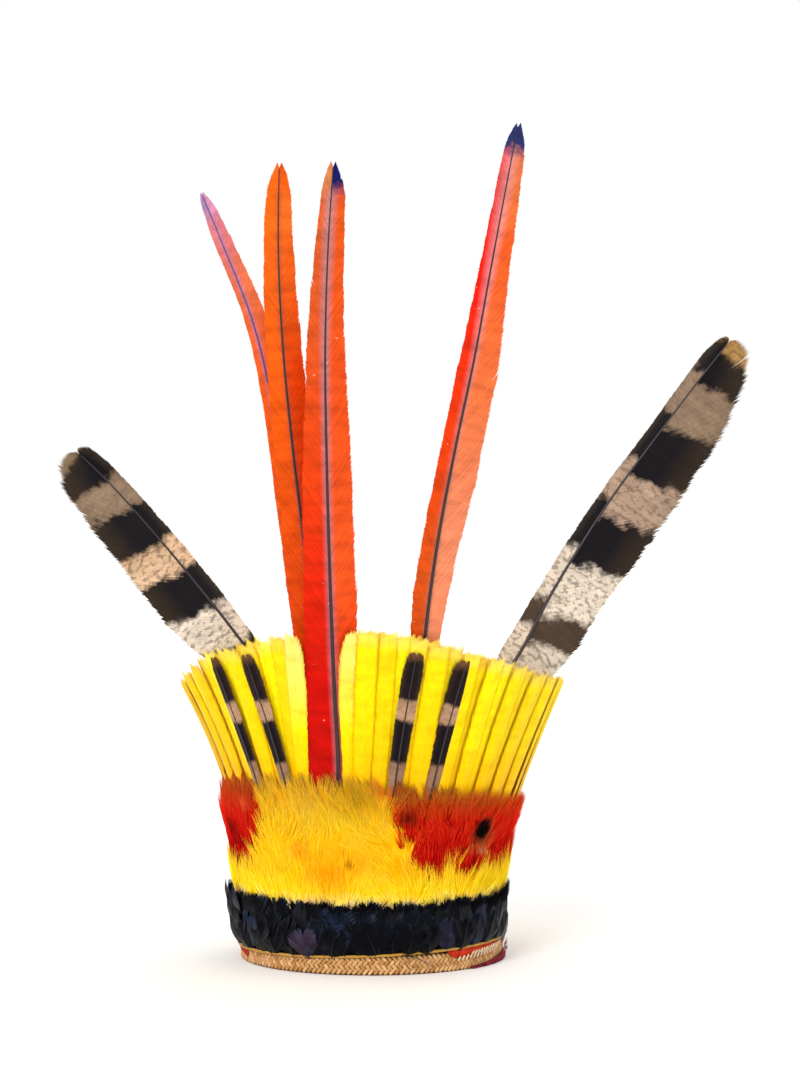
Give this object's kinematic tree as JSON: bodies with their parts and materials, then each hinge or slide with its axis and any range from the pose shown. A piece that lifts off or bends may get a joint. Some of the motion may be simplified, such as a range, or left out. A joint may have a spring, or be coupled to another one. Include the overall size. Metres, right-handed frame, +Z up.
{
  "type": "feathered headdress",
  "caption": "Open feather crown on a plaited straw rim: bands of soft plumage, a tall flared row of trimmed feathers, and long feathers standing out of it.",
  "frame": {"origin": "bottom centre of the crown's bounding box, on the surface that its straw rim stands on; the rim's axis is a little to the left of it", "axes": "+Z up along the rim's axis, -Y towards the front of the crown, +X to the viewer's right"},
  "size_m": [0.4672, 0.3152, 0.5722],
  "materials": {
    "plaited_straw": "dry plaited straw, slightly glossy strands",
    "woven_straw": "dry woven straw, matte",
    "twisted_straw": "two-ply twisted straw cord",
    "red_cloth": "plain woven cotton",
    "crimson_cloth": "plain woven cotton, frayed",
    "black_feathers": "glossy black body feathers with a blue sheen",
    "yellow_plumage": "soft downy plumage",
    "red_plumage": "soft downy plumage",
    "yellow_feathers": "smooth trimmed tail feathers",
    "barred_feathers": "dark feathers with tan bars",
    "red_feathers": "long tail feathers, red to orange"
  },
  "bodies": {
    "root": {"straw_braid": "plaited_straw", "inner_band": "woven_straw", "edge_cord": "twisted_straw", "red_cloth": "red_cloth", "crimson_cloth_end": "crimson_cloth", "black_feather_band": "black_feathers", "yellow_plumage": "yellow_plumage", "red_plumage_left": "red_plumage", "red_plumage_right": "red_plumage", "yellow_feathers_01": "yellow_feathers", "yellow_feathers_02": "yellow_feathers", "yellow_feathers_03": "yellow_feathers", "yellow_feathers_04": "yellow_feathers", "yellow_feathers_05": "yellow_feathers", "yellow_feathers_06": "yellow_feathers", "yellow_feathers_07": "yellow_feathers", "yellow_feathers_08": "yellow_feathers", "yellow_feathers_09": "yellow_feathers", "yellow_feathers_10": "yellow_feathers", "yellow_feathers_11": "yellow_feathers", "yellow_feathers_12": "yellow_feathers", "yellow_feathers_13": "yellow_feathers", "short_barred_feather_1": "barred_feathers", "short_barred_feather_2": "barred_feathers", "short_barred_feather_3": "barred_feathers", "short_barred_feather_4": "barred_feathers", "macaw_feather_a": "red_feathers", "macaw_feather_b": "red_feathers", "macaw_feather_c": "red_feathers", "macaw_feather_d": "red_feathers", "long_barred_feather_left": "barred_feathers", "long_barred_feather_right": "barred_feathers"}
  },
  "joints": []
}
